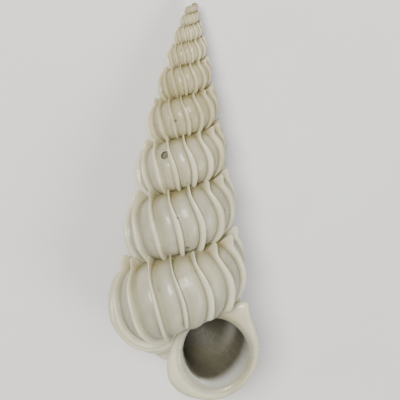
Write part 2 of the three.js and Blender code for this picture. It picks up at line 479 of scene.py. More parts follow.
@dataclass
class Patches:
    """The pieces of the surface as they are made: points, the values that ride on them, and faces."""

    points: list[np.ndarray] = field(default_factory=list)
    values: dict[str, list[np.ndarray]] = field(default_factory=dict)
    faces: list[np.ndarray] = field(default_factory=list)
    count: int = 0

    def add(
        self, points: np.ndarray, growth: np.ndarray, around: np.ndarray,
        relief: np.ndarray | float = 0.0, hollow: np.ndarray | float = 0.0, inside: np.ndarray | float = 0.0,
    ) -> np.ndarray:
        """Adds a block of points.

        Args:
            points: an array whose last axis is x, y, z.
            growth: growth in turns.
            around: angle round the section, in radians.
            relief: how high on a rib a point lies, from 0 to 1.
            hollow: how much olive dirt and painted shade darken it, from 0 to 1.
            inside: 1 inside the mouth and 0 outside.

        Returns:
            The new points' numbers, in the block's own shape.
        """
        shape = points.shape[:-1]
        self.points.append(points.reshape(-1, 3))
        values = {"relief": relief, "hollow": hollow, "growth": growth, "round": around, "inside": inside}
        for name, value in values.items():
            self.values.setdefault(name, []).append(np.broadcast_to(value, shape).ravel())
        numbers = self.count + np.arange(int(np.prod(shape))).reshape(shape)
        self.count += numbers.size
        return numbers

    def all_points(self) -> np.ndarray:
        """All the points made so far, as one array."""
        return np.concatenate(self.points)

    def grid(self, numbers: np.ndarray, keep: np.ndarray | None = None) -> None:
        """Joins the points of a grid whose rows run round the section, as four-sided faces.

        Args:
            numbers: point numbers, one line for each ring, oldest ring first.
            keep: which faces to make, or all of them.
        """
        across = np.roll(numbers, -1, axis=1)
        faces = np.stack([numbers[:-1], across[:-1], across[1:], numbers[1:]], axis=-1)
        self.faces.append(faces.reshape(-1, 4) if keep is None else faces[keep])

    def step_down(self, fine: np.ndarray, coarse: np.ndarray, fine_is_newer: bool) -> None:
        """Joins a ring to one that has half as many points, three faces to each coarse step.

        Args:
            fine: the ring with twice the points.
            coarse: the other ring.
            fine_is_newer: whether the fine ring is the newer of the two.
        """
        even, odd = fine[0::2], fine[1::2]
        after, coarse_after = np.roll(even, -1), np.roll(coarse, -1)
        rows = [(coarse, odd, even), (coarse, coarse_after, odd), (coarse_after, after, odd)]
        order = slice(None) if fine_is_newer else slice(None, None, -1)
        self.faces.extend(np.stack(row[order], axis=-1) for row in rows)

    def fan(self, ring: np.ndarray, middle: int, ring_is_newer: bool) -> None:
        """Closes a ring to one middle point.

        Args:
            ring: the ring's point numbers.
            middle: the middle point's number.
            ring_is_newer: whether the ring is newer than the middle.
        """
        centre = np.full_like(ring, middle)
        faces = np.stack([centre, np.roll(ring, -1), ring], axis=-1)
        self.faces.append(faces if ring_is_newer else faces[:, ::-1])


@dataclass
class Shell:
    """The whole shell: its coil, ribs, lip, inner tube and bored hole, in one mesh."""

    length: float
    mouth_share: float = 0.207
    hole_share: float = 0.0215
    rest_roll: float = -7.96
    rest_dip: float = 10.35
    row_count: int = 84
    row_crowding: tuple[tuple[float, float, float], ...] = ((62.0, 22.0, 2.2), (-80.0, 25.0, 0.8))
    row_samples: int = 2001
    fine_from: float = -2.9
    medium_from: float = -7.0
    lumen_first_turn: float = -0.02
    lumen_last_turn: float = -1.5
    lumen_columns: int = 36
    lumen_wall: float = 0.045
    lumen_end_turns: float = 0.05
    lumen_end_depth: float = 0.4
    sharp_angle: float = 62.0

    def __post_init__(self) -> None:
        """Works out the parts' sizes from the shell's length."""
        self.coil = Coil(mouth_radius=self.length * self.mouth_share)
        self.ribs = Ribs()
        self.lip = Lip()
        self.dust_and_shade = DustAndShade()
        self.hole = BoreHole(diameter=self.length * self.hole_share)
        self.rows = self.section_rows()
        self.patches = Patches()

    def section_rows(self) -> np.ndarray:
        """The angles of the rows round the section, crowded where the ribs have their corners.

        Returns:
            Angles in radians from -180 to 180 degrees: even steps of the summed density.
        """
        around = np.linspace(-math.pi, math.pi, self.row_samples)
        crowds = [size * bump(around, middle, spread) for middle, spread, size in self.row_crowding]
        density = 1.0 + sum(crowds)
        total = np.concatenate([[0.0], np.cumsum(0.5 * (density[1:] + density[:-1]))])
        return np.interp(np.arange(self.row_count) / self.row_count * total[-1], total, around)

    def rib_block(self, first: int, last: int, detail: Detail) -> np.ndarray:
        """Adds the rings of a stretch of ribs.

        Each rib repeats the outline of its detail: the place behind the crease sets the turn, and the
        share times the rib's height sets the rise. Towards the upper suture the rib narrows.

        Args:
            first: number of the newest rib.
            last: number of the oldest rib.
            detail: how finely to draw them.

        Returns:
            Point numbers, one line for each ring, oldest ring first.
        """
        ribs = self.ribs
        angle = self.rows[:: detail.row_stride]
        index = np.arange(last, first - 1, -1)
        rng = np.random.default_rng(ribs.seed)
        chance = rng.uniform(-1.0, 1.0, (ribs.most_ribs, 4))[index]
        crease = ribs.crease(index.astype(float))[:, None, None]
        step = crease - ribs.crease(index + 1.0)[:, None, None]
        place = detail.places[::-1][None, :, None]
        share = detail.shares[::-1][None, :, None]
        pillow = ribs.pillow * (1.0 - smooth_ramp(np.abs(angle), ribs.pillow_from, ribs.pillow_to))
        swell = detail.pillows[::-1][None, :, None] * pillow
        width = 1.0 - (1.0 - ribs.narrow_top) * smooth_ramp(np.degrees(angle), 0.0, ribs.narrow_to)
        width = width * np.interp(crease, ribs.width_turns, ribs.widths)
        width = width * (1.0 + ribs.width_jitter * chance[:, 0])[:, None, None]
        foot = ribs.foot * width
        rest = (place - ribs.foot) / (1.0 - ribs.foot)
        moved = np.where(place <= ribs.foot, place * width, foot + rest * (1.0 - foot))
        turn = crease - moved * step
        wave = 0.0
        for count, phase in zip(ribs.wave_counts, (chance[:, 1], chance[:, 2])):
            wave = wave + ribs.wave * np.sin(count * angle + math.pi * phase[:, None, None])
        uneven = 1.0 + ribs.height_jitter * chance[:, 3][:, None, None] + wave
        tall = ribs.height_at(crease, angle) * uneven
        shape = np.broadcast_shapes(turn.shape, tall.shape)
        rings = (shape[0] * shape[1], shape[2])
        turn, rise, place, share = (
            np.broadcast_to(block, shape).reshape(rings)
            for block in (turn, share * tall + swell, place, share)
        )
        relief = np.clip(rise / ribs.height, 0.0, 1.0)
        # The mask carries painted shade in the creases and behind the ribs, and olive dirt with painted
        # shade along the sutures.
        return self.patches.add(
            self.coil.point(turn, angle, rise), turn, angle,
            relief=relief,
            hollow=self.dust_and_shade.share(turn, place, np.minimum(share, relief), angle, ribs.foot),
        )

    def lip_rings(self) -> tuple[np.ndarray, np.ndarray, np.ndarray, np.ndarray]:
        """The lip's rings, from its foot on the whorl over the rim and into the mouth.

        A ring is the section at turn 0, moved out along its own normal by the reach, and forward along
        the mouth's facing by the profile.

        Returns:
            Points, relief, the share of olive dirt and painted shade, and inside for each ring.
        """
        coil, lip, angle = self.coil, self.lip, self.rows
        radius = coil.radius(np.zeros(1))[0]
        base = coil.point(0.0, angle, 0.0)
        reach = lip.reach_at(angle)
        outer = np.array(lip.outer_profile)
        inner = np.array(lip.inner_profile)
        inner_rise = np.broadcast_to(inner[:, :1], (len(inner), len(angle)))
        rise = np.concatenate([outer[:, :1] * reach, inner_rise])
        forward = np.concatenate([outer[:, 1], inner[:, 1]])
        facing = self.mouth_facing()
        out = coil.point(0.0, angle, rise) - base
        points = base + out + forward[:, None, None] * radius * facing
        relief = np.clip(rise / self.ribs.height, 0.0, 1.0)
        hollow = np.zeros_like(rise)
        # The lip's foot ring gets painted shade with olive dirt.
        hollow[0] = lip.foot_dust_and_shade
        inside = np.where(rise < lip.inside_below, 1.0, 0.0)
        return points, relief, hollow, inside

    def mouth_facing(self) -> np.ndarray:
        """The direction the mouth faces: square to the ring at turn 0, pointing along growth.

        Returns:
            A unit direction.
        """
        ring = self.coil.point(0.0, np.radians([0.0, 90.0, 180.0, 270.0]), 0.0)
        facing = np.cross(ring[0] - ring[2], ring[1] - ring[3])
        ahead = self.coil.point(0.01, 0.0, 0.0) - self.coil.point(0.0, 0.0, 0.0)
        return facing / np.linalg.norm(facing) * np.sign(facing @ ahead)

    def window(self, numbers: np.ndarray, keep: np.ndarray, detail: Detail) -> np.ndarray:
        """Switches off the faces between two ribs, round the bored hole.

        Args:
            numbers: the point numbers of a block that starts with the newest rib.
            keep: the block's faces; those in the window are switched off.
            detail: the block's detail.

        Returns:
            The point numbers along the window's edge, in order.
        """
        hole, ribs = self.hole, self.ribs
        per_rib = len(detail.places)
        creases = ribs.crease(np.arange(1.0, 2.0 + numbers.shape[0] // per_rib))
        newer = int(np.sum(creases > hole.turn))
        start = numbers.shape[0] - newer * per_rib - 1
        end = start + int(np.sum(detail.places > ribs.foot)) + 1
        away = np.degrees(self.rows) - hole.angle
        low, high = (int(np.argmin(np.abs(away - side))) for side in (-hole.half_rows, hole.half_rows))
        keep[start:end, low:high] = False
        return np.concatenate([
            numbers[start, low:high],
            numbers[start:end, high],
            numbers[end, high:low:-1],
            numbers[end:start:-1, low],
        ])

    def bore(self, edge: np.ndarray) -> None:
        """Fills the window with rings that close in on the bored hole, and sinks the pit.

        Each ring is a blend, in turns and angles, from the window's edge to a circle of the hole's
        size. The circle is then carried down along the surface's normal through the pit's outline,
        and closed.

        Args:
            edge: the point numbers along the window's edge.
        """
        hole, coil, patches = self.hole, self.coil, self.patches
        here = np.array([hole.turn, math.radians(hole.angle)])
        middle, by_turn, by_angle, normal = coil.tangents(*here)
        first_axis = by_angle / np.linalg.norm(by_angle)
        axes = np.stack([first_axis, np.cross(normal, first_axis)])
        to_axes = axes @ np.stack([by_turn, by_angle], axis=-1)
        offset = patches.all_points()[edge] - middle
        lengths = np.linalg.norm(np.roll(offset, -1, axis=0) - offset, axis=-1)
        travelled = np.concatenate([[0.0], np.cumsum(lengths)[:-1]]) / lengths.sum()
        flat = offset[[0, len(edge) // 4]] @ axes.T
        start, later = np.arctan2(flat[:, 1], flat[:, 0])
        way = 1.0 if (later - start) % FULL_TURN < math.pi else -1.0
        bearing = start + way * FULL_TURN * travelled
        radius = 0.5 * hole.diameter
        circle = radius * np.stack([np.cos(bearing), np.sin(bearing)], axis=-1)
        circle_place = here + circle @ np.linalg.inv(to_axes).T
        edge_place = np.stack(
            [np.concatenate(patches.values[name])[edge] for name in ("growth", "round")], axis=-1
        )
        blend = (np.arange(1, hole.steps + 1) / hole.steps)[:, None, None]
        turn, angle = np.moveaxis(edge_place + blend * (circle_place - edge_place), -1, 0)
        closing = patches.add(coil.point(turn, angle, 0.0), turn, angle)

        rim = patches.all_points()[closing[-1]] - middle
        level = (rim @ normal)[:, None] * normal
        outline = np.array(hole.outline)
        across, depth = outline[:, :1, None], outline[:, 1:, None]
        sunk = middle + level + across * (rim - level) - (depth - depth[0]) * radius * normal
        deepest = middle - depth[-1] * radius * normal
        # The pit takes the full dirt and shade mask and most of the inside's painted shade.
        wall, floor = (
            patches.add(points, self.lumen_last_turn, here[1], hollow=1.0, inside=hole.dark)
            for points in (sunk, deepest)
        )
        rings = np.concatenate([edge[None], closing, wall])
        turned = np.roll(rings, -1, axis=1)
        faces = np.stack([rings[:-1], turned[:-1], turned[1:], rings[1:]], axis=-1).reshape(-1, 4)
        cap = np.stack([wall[-1], np.roll(wall[-1], -1), np.full(len(edge), floor[0])], axis=-1)
        sample = patches.all_points()[faces[: len(edge)]]
        facing = np.cross(sample[:, 1] - sample[:, 0], sample[:, 3] - sample[:, 0]) @ normal
        order = slice(None, None, -1) if facing.sum() < 0.0 else slice(None)
        patches.faces.extend([faces[:, order], cap[:, order]])

    def build(self) -> bpy.types.Object:
        """Makes the whole surface and lays it down.

        Returns:
            The shell's object, at the origin, with its place in its mesh.
        """
        patches, ribs, coil = self.patches, self.ribs, self.coil
        all_ribs = np.arange(1, ribs.most_ribs)
        creases = ribs.crease(all_ribs.astype(float))
        fine_last = int(all_ribs[creases > self.fine_from][-1])
        medium_last = int(all_ribs[creases > self.medium_from][-1])
        coarse_last = int(all_ribs[creases > coil.first_turn][-1])
        fine = self.rib_block(1, fine_last, Detail.FINE)
        medium = self.rib_block(fine_last + 1, medium_last, Detail.MEDIUM)
        coarse = self.rib_block(medium_last + 1, coarse_last, Detail.COARSE)
        keep = np.ones((fine.shape[0] - 1, fine.shape[1]), bool)
        self.bore(self.window(fine, keep, Detail.FINE))
        patches.grid(fine, keep)
        patches.grid(medium)
        patches.grid(coarse)
        patches.step_down(fine[0], medium[-1], fine_is_newer=True)
        patches.step_down(medium[0], coarse[-1], fine_is_newer=True)
        apex = patches.add(coil.point(coil.first_turn, np.zeros(1), 0.0), coil.first_turn, 0.0)[0]
        patches.fan(coarse[0], apex, ring_is_newer=True)
        self.close_mouth(fine[-1])
        return self.to_object()

    def close_mouth(self, last_ring: np.ndarray) -> None:
        """Adds the gap before the lip, the lip itself, and the inner tube behind it down to a closed end.

        Args:
            last_ring: point numbers of the newest ring of the ribbed wall.
        """
        patches, coil, lip, angle = self.patches, self.coil, self.lip, self.rows
        points, relief, hollow, inside = self.lip_rings()
        before = patches.all_points()[last_ring]
        blend = (np.arange(1, lip.gap_columns + 1) / (lip.gap_columns + 1))[:, None, None]
        gap = before + blend * (points[0] - before)
        joined = np.concatenate([gap, points])
        flat = np.zeros((lip.gap_columns, len(angle)))
        rings = patches.add(
            joined, 0.0, angle,
            relief=np.concatenate([flat, relief]),
            hollow=np.concatenate([flat, hollow]),
            inside=np.concatenate([flat, inside]),
        )
        turns = np.linspace(self.lumen_first_turn, self.lumen_last_turn, self.lumen_columns)[:, None]
        lumen = patches.add(coil.point(turns, angle, -self.lumen_wall), turns, angle, inside=1.0)
        patches.grid(np.concatenate([last_ring[None], rings, lumen]))
        end_turn = self.lumen_last_turn - self.lumen_end_turns
        end = coil.point(end_turn, np.zeros(1), -self.lumen_end_depth)
        end = patches.add(end, self.lumen_last_turn, 0.0, inside=1.0)[0]
        patches.fan(lumen[-1], end, ring_is_newer=False)

    def laying_turn(self) -> Matrix:
        """The turn that lays the shell down: roll about its axis, then tip the apex to the table."""
        tip = Matrix.Rotation(math.radians(-90.0 - self.rest_dip), 3, "X")
        return tip @ Matrix.Rotation(math.radians(self.rest_roll), 3, "Z")

    def to_object(self) -> bpy.types.Object:
        """Puts the surface into a mesh, laid down inside the CAD part's box.

        Returns:
            The object, smooth shaded, with one attribute for each value that rides on the points.
        """
        turn = np.array(self.laying_turn())
        points = self.patches.all_points() @ turn.T
        low, high = points.min(axis=0), points.max(axis=0)
        cad_low, cad_high = np.array(CAD_BOX[0]), np.array(CAD_BOX[1])
        shift = 0.5 * (cad_low + cad_high - low - high)
        shift[2] = cad_low[2] - low[2]
        self.shift = shift
        mesh = bpy.data.meshes.new("shell")
        faces = [face for block in self.patches.faces for face in block.tolist()]
        mesh.from_pydata((points + shift).tolist(), [], faces)
        for name, blocks in self.patches.values.items():
            attribute = mesh.attributes.new(name, "FLOAT", "POINT")
            attribute.data.foreach_set("value", np.concatenate(blocks).astype(np.float32))
        mesh.shade_smooth()
        mesh.set_sharp_from_angle(angle=math.radians(self.sharp_angle))
        piece = bpy.data.objects.new("shell", mesh)
        bpy.context.scene.collection.objects.link(piece)
        return piece


# ------------------------------------------------------------------ finish


Colour = tuple[float, float, float]
Range = tuple[float, ...]
NOISE_ROUGHNESS = 0.55


def rgba(red: float, green: float, blue: float) -> tuple[float, float, float, float]:
    """A linear colour with full cover."""
    return (red, green, blue, 1.0)


class Nodes:
    """Places and joins the nodes of one tree."""

    def __init__(self, tree: bpy.types.NodeTree) -> None:
        """Keeps the tree that the nodes go in."""
        self.tree = tree

    def new(self, kind: str, **settings: object) -> bpy.types.Node:
        """Adds a node and sets its plain settings.

        Args:
            kind: the node's type name.
            **settings: attribute names and values.

        Returns:
            The node.
        """
        node = self.tree.nodes.new(kind)
        for name, value in settings.items():
            setattr(node, name, value)
        return node

    def feed(self, socket: bpy.types.NodeSocket, source: object) -> None:
        """Links an output to a socket, or sets a plain value on it.

        Args:
            socket: the input socket.
            source: an output socket, or a value.
        """
        if isinstance(source, bpy.types.NodeSocket):
            self.tree.links.new(source, socket)
        else:
            socket.default_value = source

    def math(
        self, operation: str, first: object, second: object = 0.0, clamp: bool = False
    ) -> bpy.types.NodeSocket:
        """A Math node's output.

        Args:
            operation: the node's operation.
            first: first value or output.
            second: second value or output.
            clamp: whether to hold the result between 0 and 1.

        Returns:
            The output socket.
        """
        node = self.new("ShaderNodeMath", operation=operation, use_clamp=clamp)
        self.feed(node.inputs[0], first)
        self.feed(node.inputs[1], second)
        return node.outputs[0]

    def times(self, first: object, second: object) -> bpy.types.NodeSocket:
        """One value or output times another."""
        return self.math("MULTIPLY", first, second)

    def distance(self, first: object, second: object) -> bpy.types.NodeSocket:
        """The size of the difference of two values or outputs."""
        return self.math("ABSOLUTE", self.math("SUBTRACT", first, second))

    def ramp(
        self, value: object, low: float, high: float, to_low: float = 0.0, to_high: float = 1.0
    ) -> bpy.types.NodeSocket:
        """A Map Range node's output, smooth and clamped.

        Args:
            value: the output to map.
            low: the value that gives to_low.
            high: the value that gives to_high.
            to_low: result at low.
            to_high: result at high.

        Returns:
            The output socket.
        """
        node = self.new("ShaderNodeMapRange", interpolation_type="SMOOTHSTEP")
        names = ("Value", "From Min", "From Max", "To Min", "To Max")
        for name, source in zip(names, (value, low, high, to_low, to_high)):
            self.feed(node.inputs[name], source)
        return node.outputs["Result"]

    def mix(self, share: object, first: object, second: object, blend: str = "MIX") -> bpy.types.NodeSocket:
        """A colour Mix node's output.

        Args:
            share: how much of the second.
            first: first colour.
            second: second colour.
            blend: how they are blended.

        Returns:
            The output socket.
        """
        node = self.new("ShaderNodeMix", data_type="RGBA", blend_type=blend, clamp_factor=True)
        self.feed(node.inputs["Factor"], share)
        self.feed(node.inputs[6], first)
        self.feed(node.inputs[7], second)
        return node.outputs[2]

    def attribute(self, name: str) -> bpy.types.NodeSocket:
        """The value of one of the mesh's attributes."""
        return self.new("ShaderNodeAttribute", attribute_name=name).outputs["Fac"]

    def noise(self, vector: object, scale: object, detail: float = 4.0) -> bpy.types.NodeSocket:
        """A noise texture's value.

        Args:
            vector: where to read it.
            scale: its scale.
            detail: how many octaves.

        Returns:
            The output socket.
        """
        node = self.new("ShaderNodeTexNoise")
        self.feed(node.inputs["Vector"], vector)
        self.feed(node.inputs["Scale"], scale)
        node.inputs["Detail"].default_value = detail
        node.inputs["Roughness"].default_value = NOISE_ROUGHNESS
        return node.outputs["Fac"]

    def group(self, tree: bpy.types.NodeTree, **inputs: object) -> bpy.types.Node:
        """Places a node group and feeds its inputs by name.

        Args:
            tree: the group's tree.
            **inputs: what feeds each input, by the input's name in small letters.

        Returns:
            The group's node.
        """
        node = self.new("ShaderNodeGroup", node_tree=tree)
        for name, source in inputs.items():
            self.feed(node.inputs[name.replace("_", " ").capitalize()], source)
        return node


def new_group(
    name: str, inputs: dict[str, tuple[str, object]], outputs: dict[str, str]
) -> tuple[Nodes, bpy.types.Node, bpy.types.Node]:
    """Starts a shader node group.

    Args:
        name: the group's name.
        inputs: socket type and start value for each input.
        outputs: socket type for each output.

    Returns:
        The group's nodes, its input node and its output node.
    """
    tree = bpy.data.node_groups.new(name, "ShaderNodeTree")
    for label, (kind, value) in inputs.items():
        socket = tree.interface.new_socket(label, in_out="INPUT", socket_type=kind)
        if value is not None:
            socket.default_value = value
    for label, kind in outputs.items():
        tree.interface.new_socket(label, in_out="OUTPUT", socket_type=kind)
    nodes = Nodes(tree)
    return nodes, nodes.new("NodeGroupInput"), nodes.new("NodeGroupOutput")


def growth_line_group() -> bpy.types.NodeTree:
    """Fine lines of growth: noise read fast along growth and slowly round, and threads the other way.

    Returns:
        A group with inputs Growth, Round and Fineness and outputs Lines and Threads.
    """
    stretches = {"Lines": (420.0, 1.2), "Threads": (10.0, 26.0)}
    octaves = 3.0
    starts = {"Growth": 0.0, "Round": 0.0, "Fineness": 1.0}
    nodes, given, result = new_group(
        "growth_lines",
        {name: ("NodeSocketFloat", value) for name, value in starts.items()},
        {name: "NodeSocketFloat" for name in stretches},
    )
    for name, (along, around) in stretches.items():
        place = nodes.new("ShaderNodeCombineXYZ")
        nodes.feed(place.inputs["X"], nodes.times(given.outputs["Growth"], along))
        nodes.feed(place.inputs["Y"], nodes.times(given.outputs["Round"], around))
        nodes.feed(result.inputs[name], nodes.noise(place.outputs[0], given.outputs["Fineness"], octaves))
    return nodes.tree


def speck_group() -> bpy.types.NodeTree:
    """A round speck with a ragged edge: full inside its radius of a centre, and nothing outside.

    Returns:
        A group with inputs Vector, Centre and Radius and output Mask.
    """
    ragged_scale, ragged_by, ragged_least = 50.0, 0.9, 0.55
    outside, within = 1.15, 0.75
    nodes, given, result = new_group(
        "speck",
        {
            "Vector": ("NodeSocketVector", None),
            "Centre": ("NodeSocketVector", None),
            "Radius": ("NodeSocketFloat", 0.02),
        },
        {"Mask": "NodeSocketFloat"},
    )
    away = nodes.new("ShaderNodeVectorMath", operation="DISTANCE")
    nodes.feed(away.inputs[0], given.outputs["Vector"])
    nodes.feed(away.inputs[1], given.outputs["Centre"])
    noise = nodes.noise(given.outputs["Vector"], ragged_scale)
    ragged = nodes.math("ADD", nodes.times(noise, ragged_by), ragged_least)
    near = nodes.math("DIVIDE", away.outputs["Value"], given.outputs["Radius"])
    nodes.feed(result.inputs["Mask"], nodes.ramp(nodes.math("DIVIDE", near, ragged), outside, within))
    return nodes.tree


@dataclass(frozen=True)
class Speck:
    """A small stain on the wall: its turn, its angle in degrees, its radius and its strength as shares."""

    turn: float
    angle: float
    radius: float
    strength: float


@dataclass(frozen=True)
class ShellFinish:
    """Cream ribs over a greyer, glossier wall, with olive dirt and painted shade in the creases, and an
    inside darkened by painted shade.

    Ranges are (value that gives the start, value that gives the end, start, end) of a smooth ramp, and
    the last two are 0 and 1 where they aren't given. Scales are (scale, octaves) of a noise.
    """

    wall: Colour = (0.285, 0.27, 0.195)
    wall_old: Colour = (0.33, 0.29, 0.165)
    rib: Colour = (0.475, 0.45, 0.315)
    rib_old: Colour = (0.5, 0.44, 0.27)
    # Olive dirt colour, also used as painted shade in the creases, behind the ribs and along the sutures.
    dust_and_shade: Colour = (0.2, 0.165, 0.055)
    stain: Colour = (0.07, 0.055, 0.03)
    # Painted shade: the colour the inside darkens to further in, where light doesn't reach.
    deep_shade: Colour = (0.06, 0.056, 0.038)
    throat_edge: Colour = (0.4, 0.4, 0.36)

    cloud_scale: tuple[float, float] = (260.0, 5.0)
    grain_scale: tuple[float, float] = (2600.0, 3.0)
    patch_scale: tuple[float, float] = (110.0, 3.0)

    old_range: Range = (-1.5, -5.0)
    cloud_on_wall: Range = (0.4, 0.7, 0.0, 0.45)
    lines_on_wall: Range = (0.48, 0.7, 0.0, 0.3)
    crest_range: Range = (0.15, 0.7)
    dust_and_shade_range: Range = (0.3, 0.7, 0.45, 1.0)
    patch_range: Range = (0.46, 0.68, 0.0, 0.42)

    deep_shade_turns: Range = (-0.01, -0.055)
    threads_range: Range = (0.4, 0.7, 0.0, 0.15)
    # A painted reflection: a soft pale band on the inside wall, at this turn and over these angles.
    painted_reflection_turn: float = -0.106
    painted_reflection_spread: float = 0.03
    painted_reflection_round: Range = (-0.9, 0.6)
    painted_reflection_strength: float = 0.5

    crack_angle: float = 12.0
    crack_width: float = 0.8
    crack_relief: Range = (0.2, 0.5)
    crack_turns: Range = (-0.02, 0.0)
    crack_strength: float = 0.45

    rough_range: Range = (0.0, 0.8, 0.46, 0.48)
    rough_grain: Range = (0.3, 0.7, -0.05, 0.08)
    rough_dust_and_shade: float = 0.3
    bump_strength: float = 0.5
    bump_distance: float = 0.00012
    bump_lines: float = 0.5
    bump_threads: float = 0.35
    bump_grain: float = 0.25

    subsurface: float = 0.18
    subsurface_radius: Colour = (1.0, 0.85, 0.6)
    subsurface_scale: float = 0.0008
    refraction: float = 1.53
    coat: float = 0.3
    coat_roughness: float = 0.12

    spread_shares: tuple[float, float] = (5.56, 0.49)
    specks: tuple[Speck, ...] = (
        Speck(-1.758, -48.0, 0.038, 0.8), Speck(-3.576, -8.0, 0.04, 0.8), Speck(-3.705, -3.5, 0.033, 0.7),
        Speck(-4.823, -29.0, 0.036, 0.7), Speck(-4.84, -49.0, 0.04, 0.7), Speck(-2.906, 45.0, 0.018, 0.8),
        Speck(-1.904, 5.5, 0.016, 0.6), Speck(-0.943, 31.0, 0.015, 0.8), Speck(-1.588, 31.0, 0.02, 0.5),
        Speck(-1.746, 15.5, 0.019, 0.6), Speck(-2.753, -43.0, 0.022, 0.6), Speck(-0.707, 21.5, 0.04, 0.25),
    )


class ShellShader:
    """Mixes the shell's finish from the values that ride on its mesh, its growth lines and two noises."""

    def __init__(self, finish: ShellFinish, tree: bpy.types.NodeTree) -> None:
        """Places the nodes that everything else is mixed from.

        Args:
            finish: the colours and strengths.
            tree: the material's own tree.
        """
        self.finish = finish
        self.nodes = nodes = Nodes(tree)
        self.place = nodes.new("ShaderNodeTexCoord").outputs["Object"]
        self.growth, self.around, self.relief, self.hollow, self.inside = (
            nodes.attribute(name) for name in ("growth", "round", "relief", "hollow", "inside")
        )
        group = nodes.group(growth_line_group(), growth=self.growth, round=self.around, fineness=1.0)
        self.lines, self.threads = group.outputs["Lines"], group.outputs["Threads"]
        self.cloud = nodes.noise(self.place, *finish.cloud_scale)
        self.grain = nodes.noise(self.place, *finish.grain_scale)

    def outer_colour(self) -> bpy.types.NodeSocket:
        """The outside: wall and crests by height, with olive dirt and painted shade in the creases, and
        olive dirt in broad patches.

        Returns:
            The colour.
        """
        finish, nodes = self.finish, self.nodes
        dust_and_shade = rgba(*finish.dust_and_shade)
        old = nodes.ramp(self.growth, *finish.old_range)
        wall = nodes.mix(old, rgba(*finish.wall), rgba(*finish.wall_old))
        wall = nodes.mix(nodes.ramp(self.cloud, *finish.cloud_on_wall), wall, rgba(*finish.rib))
        wall = nodes.mix(nodes.ramp(self.lines, *finish.lines_on_wall), wall, dust_and_shade)
        crest = nodes.mix(old, rgba(*finish.rib), rgba(*finish.rib_old))
        bone = nodes.mix(nodes.ramp(self.relief, *finish.crest_range), wall, crest)
        # Olive dirt and painted shade, laid where the mask says.
        dust_and_shade_share = nodes.times(self.hollow, nodes.ramp(self.cloud, *finish.dust_and_shade_range))
        patch = nodes.ramp(nodes.noise(self.place, *finish.patch_scale), *finish.patch_range)
        return nodes.mix(patch, nodes.mix(dust_and_shade_share, bone, dust_and_shade), dust_and_shade)

    def inside_colour_with_painted_light(self) -> bpy.types.NodeSocket:
        """The inside: pale at the lip and darker further in as painted shade, with a soft pale band of
        painted reflection between.

        Returns:
            The colour.
        """
        finish, nodes = self.finish, self.nodes
        edge = rgba(*finish.throat_edge)
        # Painted shade deepens from the lip inwards.
        deep_shade = nodes.mix(nodes.ramp(self.growth, *finish.deep_shade_turns), edge, rgba(*finish.deep_shade))
        deep_shade = nodes.mix(nodes.ramp(self.threads, *finish.threads_range), deep_shade, rgba(*finish.dust_and_shade))
        # The painted reflection band, in the lip's pale colour.
        band = nodes.ramp(nodes.distance(self.growth, finish.painted_reflection_turn), finish.painted_reflection_spread, 0.0)
        painted_reflection = nodes.times(band, nodes.ramp(self.around, *finish.painted_reflection_round))
        return nodes.mix(nodes.times(painted_reflection, finish.painted_reflection_strength), deep_shade, edge)

    def stained(self, coat: bpy.types.NodeSocket) -> bpy.types.NodeSocket:
        """The outside with its specks, and with a hairline crack across the lip.

        Args:
            coat: the clean colour.

        Returns:
            The colour.
        """
        finish, nodes = self.finish, self.nodes
        stain = rgba(*finish.stain)
        spread = nodes.new("ShaderNodeCombineXYZ")
        by_turn, by_angle = finish.spread_shares
        nodes.feed(spread.inputs["X"], nodes.times(self.growth, by_turn))
        nodes.feed(spread.inputs["Y"], nodes.times(self.around, by_angle))
        tree = speck_group()
        for speck in finish.specks:
            centre = (by_turn * speck.turn, by_angle * math.radians(speck.angle), 0.0)
            mask = nodes.group(tree, vector=spread.outputs[0], centre=centre, radius=speck.radius)
            coat = nodes.mix(nodes.times(mask.outputs["Mask"], speck.strength), coat, stain)
        beside = nodes.distance(self.around, math.radians(finish.crack_angle))
        crack = nodes.ramp(beside, math.radians(finish.crack_width), 0.0)
        on_rim = nodes.ramp(self.relief, *finish.crack_relief)
        on_lip = nodes.times(on_rim, nodes.ramp(self.growth, *finish.crack_turns))
        return nodes.mix(nodes.times(nodes.times(crack, on_lip), finish.crack_strength), coat, stain)

    def roughness(self) -> bpy.types.NodeSocket:
        """The roughness: by height, a little uneven, and more under the dirt and shade mask.

        Returns:
            The roughness, from 0 to 1.
        """
        finish, nodes = self.finish, self.nodes
        rough = nodes.ramp(self.relief, *finish.rough_range)
        rough = nodes.math("ADD", rough, nodes.ramp(self.grain, *finish.rough_grain))
        return nodes.math("ADD", rough, nodes.times(self.hollow, finish.rough_dust_and_shade), clamp=True)

    def normal(self) -> bpy.types.NodeSocket:
        """The normal, raised by the growth lines, the threads and the grain.

        Returns:
            The normal.
        """
        finish, nodes = self.finish, self.nodes
        height = nodes.times(self.lines, finish.bump_lines)
        height = nodes.math("ADD", height, nodes.times(self.threads, finish.bump_threads))
        height = nodes.math("ADD", height, nodes.times(self.grain, finish.bump_grain))
        raised = nodes.new("ShaderNodeBump")
        raised.inputs["Strength"].default_value = finish.bump_strength
        raised.inputs["Distance"].default_value = finish.bump_distance
        nodes.feed(raised.inputs["Height"], height)
        return raised.outputs["Normal"]

    def gloss(self) -> bpy.types.NodeSocket:
        """The weight of the glossy coat: full on clean outer wall, none under the dirt and shade mask and
        none inside.
        """
        covered = self.nodes.math("MAXIMUM", self.hollow, self.inside)
        return self.nodes.times(self.nodes.math("SUBTRACT", 1.0, covered, clamp=True), self.finish.coat)

